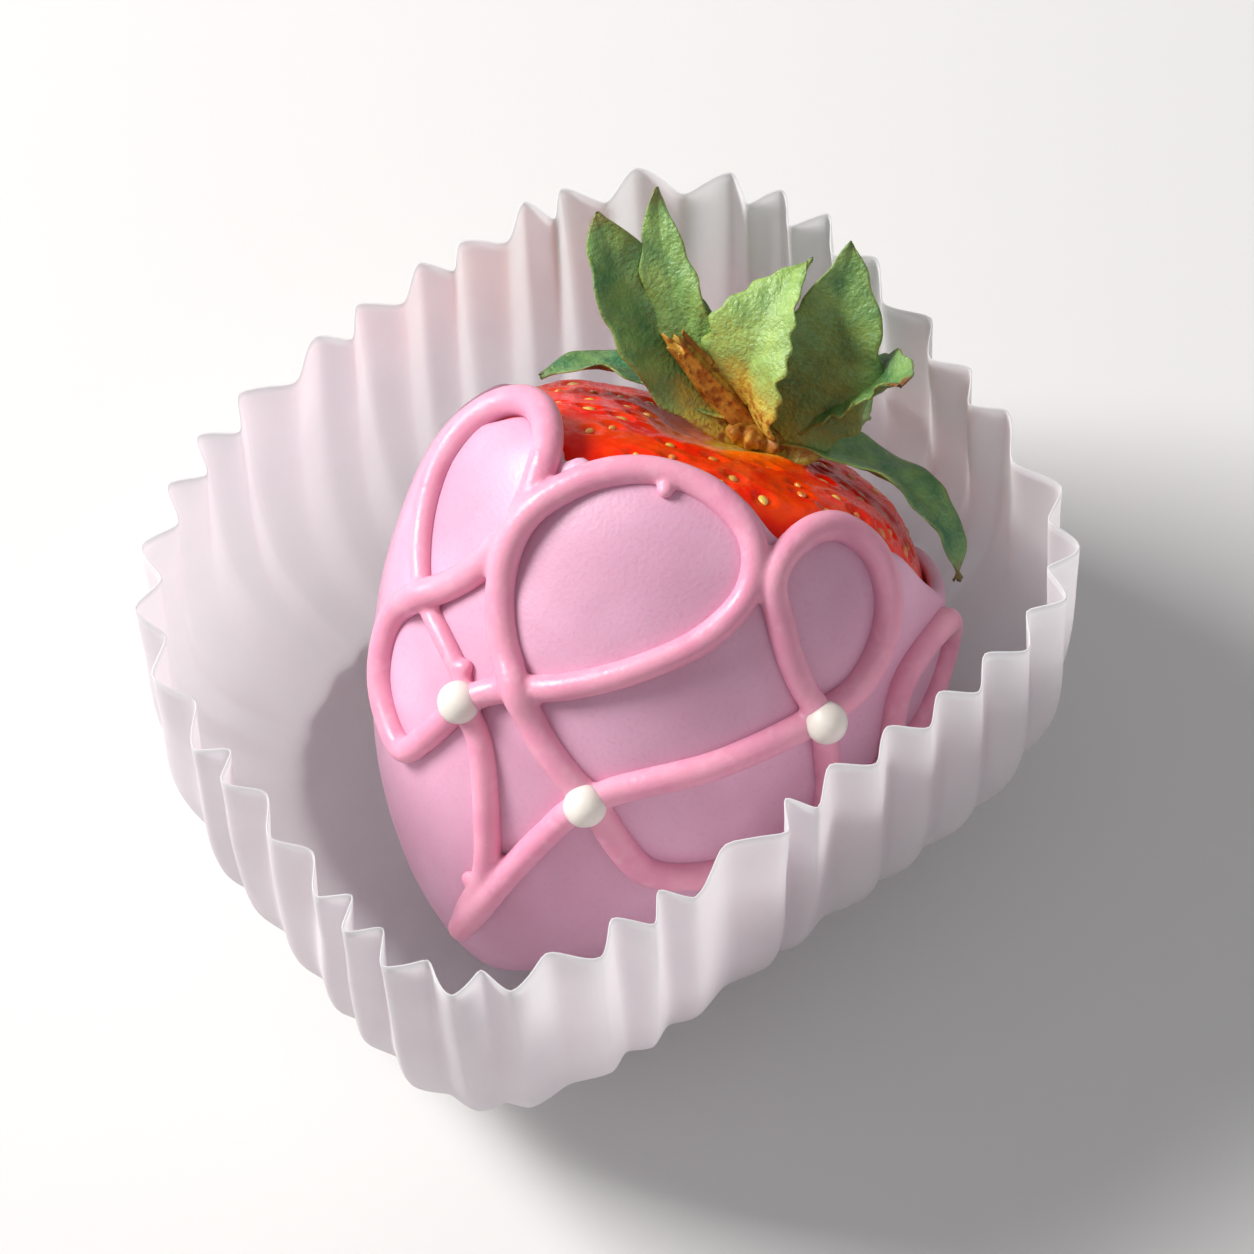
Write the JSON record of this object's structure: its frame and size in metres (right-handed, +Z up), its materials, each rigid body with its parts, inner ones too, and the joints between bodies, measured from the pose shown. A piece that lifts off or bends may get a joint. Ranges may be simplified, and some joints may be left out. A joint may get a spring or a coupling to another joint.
{
  "type": "chocolate coated strawberry",
  "caption": "Whole strawberry in a pink chocolate coat with piped bows and sugar pearls, lying in a white pleated paper case.",
  "frame": {"origin": "middle of the paper case's flat foot, on the surface that it stands on", "axes": "+Z up; X along the case's long sides, Y along its short sides; the berry's leaves point towards +X and +Y"},
  "size_m": [0.0652, 0.0544, 0.047],
  "materials": {
    "case_paper": "thin white glassine paper, satin, lets some light through",
    "berry_flesh": "wet red skin with yellow seeds",
    "pink_chocolate": "set pink chocolate with a soft sheen",
    "leaf_green": "soft dull leaf, paler at the foot"
  },
  "bodies": {
    "root": {"paper_case": "case_paper", "berry": "berry_flesh", "coating": "pink_chocolate", "calyx": "leaf_green"}
  },
  "joints": []
}
